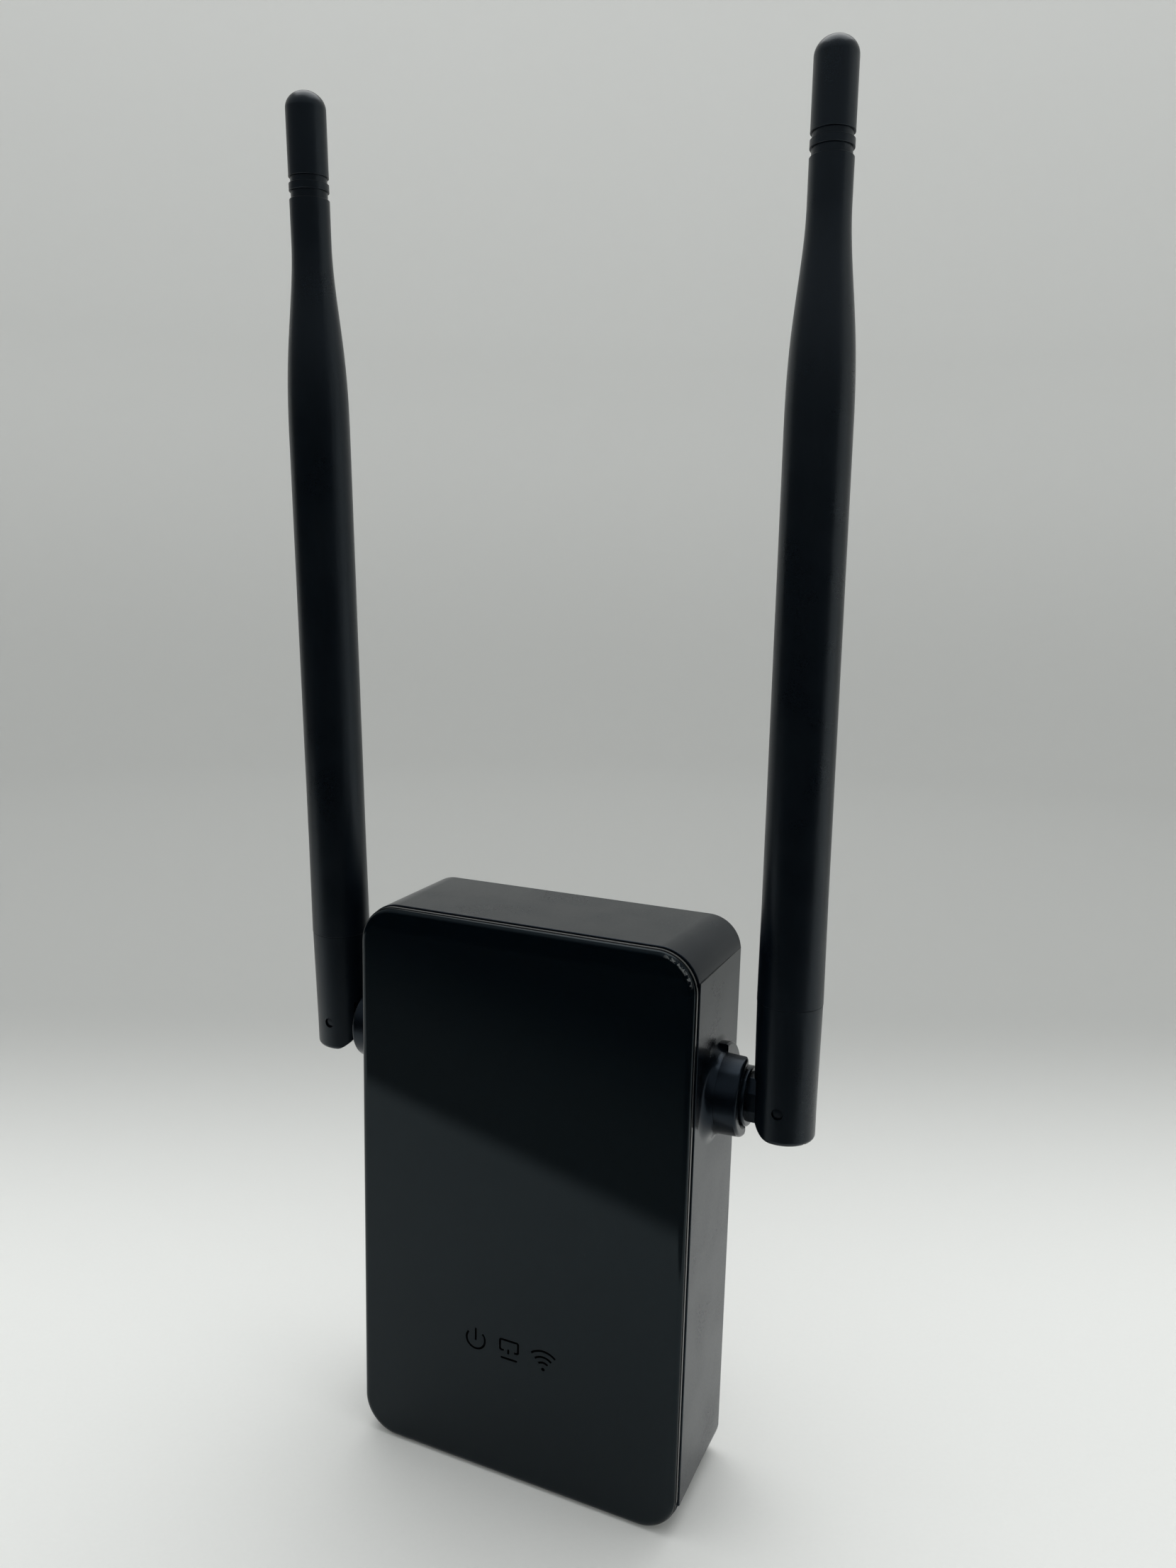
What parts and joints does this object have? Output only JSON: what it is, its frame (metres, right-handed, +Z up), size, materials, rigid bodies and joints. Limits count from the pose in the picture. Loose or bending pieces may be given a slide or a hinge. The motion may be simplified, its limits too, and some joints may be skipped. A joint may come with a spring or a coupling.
{
  "type": "wifi range extender",
  "caption": "Plug-in wifi range extender: slim upright housing with a gloss front, status icons and hinged side aerials that swivel and tilt.",
  "frame": {"origin": "middle of the housing's bottom face, at half its width and half its depth without the blades", "axes": "+X to the right seen from the front, +Y from the front panel to the back, +Z up along the upright housing and aerials"},
  "size_m": [0.1035, 0.0422, 0.253],
  "materials": {
    "satin_black": "satin, fine mould texture",
    "gloss_black": "piano gloss",
    "aerial_black": "fine matte grain",
    "clear_plastic": "frosted",
    "board_green": "solder mask",
    "screw_steel": "zinc plated",
    "tin_plate": "tin plated",
    "nickel_blades": "nickel plated",
    "heat_sink_metal": "anodised",
    "gold_contact": "gold flashed",
    "black_plastic": "matt",
    "led_white": "phosphor",
    "soft_pad": "silicone",
    "ferrite": "taped ferrite",
    "cap_sleeve": "shrink sleeve",
    "fuse_brown": "moulded"
  },
  "bodies": {
    "housing": {"rear_housing": "satin_black", "front_bezel": "gloss_black", "front_panel": "gloss_black", "housing_screws": "screw_steel", "light_guide": "clear_plastic", "light_baffle": "black_plastic", "power_led": "led_white", "link_led": "led_white", "signal_led": "led_white", "main_board": "board_green", "board_screws": "screw_steel", "wifi_chip": "black_plastic", "thermal_pad": "soft_pad", "heat_sink": "heat_sink_metal", "rf_shield": "tin_plate", "flash_chip": "black_plastic", "crystal": "tin_plate", "ethernet_transformer": "black_plastic", "jack_shell": "tin_plate", "jack_insert": "black_plastic", "jack_contacts": "gold_contact", "board_header": "gold_contact", "reset_switch": "tin_plate", "wps_switch": "tin_plate", "power_board": "board_green", "power_board_screws": "screw_steel", "power_transformer": "ferrite", "input_capacitor": "cap_sleeve", "output_capacitor": "cap_sleeve", "bridge_rectifier": "black_plastic", "mains_fuse": "fuse_brown", "plug_block": "black_plastic", "plug_blades": "nickel_blades", "right_friction_washer": "black_plastic", "right_retaining_clip": "screw_steel", "right_board_coax": "black_plastic", "left_friction_washer": "black_plastic", "left_retaining_clip": "screw_steel", "left_board_coax": "black_plastic"},
    "right_swivel": {"right_swivel": "satin_black", "right_swivel_coax": "black_plastic"},
    "right_aerial": {"right_aerial_base": "aerial_black", "right_aerial_sleeve": "aerial_black", "right_aerial_cap": "aerial_black", "right_hinge_pins": "screw_steel", "right_dipole_board": "board_green", "right_aerial_coax": "black_plastic"},
    "left_swivel": {"left_swivel": "satin_black", "left_swivel_coax": "black_plastic"},
    "left_aerial": {"left_aerial_base": "aerial_black", "left_aerial_sleeve": "aerial_black", "left_aerial_cap": "aerial_black", "left_hinge_pins": "screw_steel", "left_dipole_board": "board_green", "left_aerial_coax": "black_plastic"},
    "wps_button": {"wps_button": "satin_black", "wps_plunger": "black_plastic"},
    "reset_plunger": {"reset_plunger": "black_plastic"}
  },
  "joints": [
    {"name": "right_aerial_swivel", "type": "hinge", "parent": "housing", "child": "right_swivel", "pos_m": [0.0395, 0, 0.0816], "axis": [1, 0, 0], "range_deg": [-88.9, 91.1]},
    {"name": "right_aerial_tilt", "type": "hinge", "parent": "right_swivel", "child": "right_aerial", "pos_m": [0.0462, 0, 0.0816], "axis": [0, 0.9998, -0.0192], "range_deg": [0, 90.6]},
    {"name": "left_aerial_swivel", "type": "hinge", "parent": "housing", "child": "left_swivel", "pos_m": [-0.0395, 0, 0.0816], "axis": [1, 0, 0], "range_deg": [-93.2, 86.8]},
    {"name": "left_aerial_tilt", "type": "hinge", "parent": "left_swivel", "child": "left_aerial", "pos_m": [-0.0462, 0, 0.0816], "axis": [0, -0.9984, -0.0558], "range_deg": [-0.3, 90.3]},
    {"name": "wps_button_press", "type": "slide", "parent": "housing", "child": "wps_button", "axis": [1, 0, 0], "range_m": [0, 0.00025], "stiffness_N_per_m": 4000, "springref_m": -0.0001},
    {"name": "reset_press", "type": "slide", "parent": "housing", "child": "reset_plunger", "axis": [1, 0, 0], "range_m": [0, 0.00025], "stiffness_N_per_m": 4000, "springref_m": -0.0001}
  ]
}
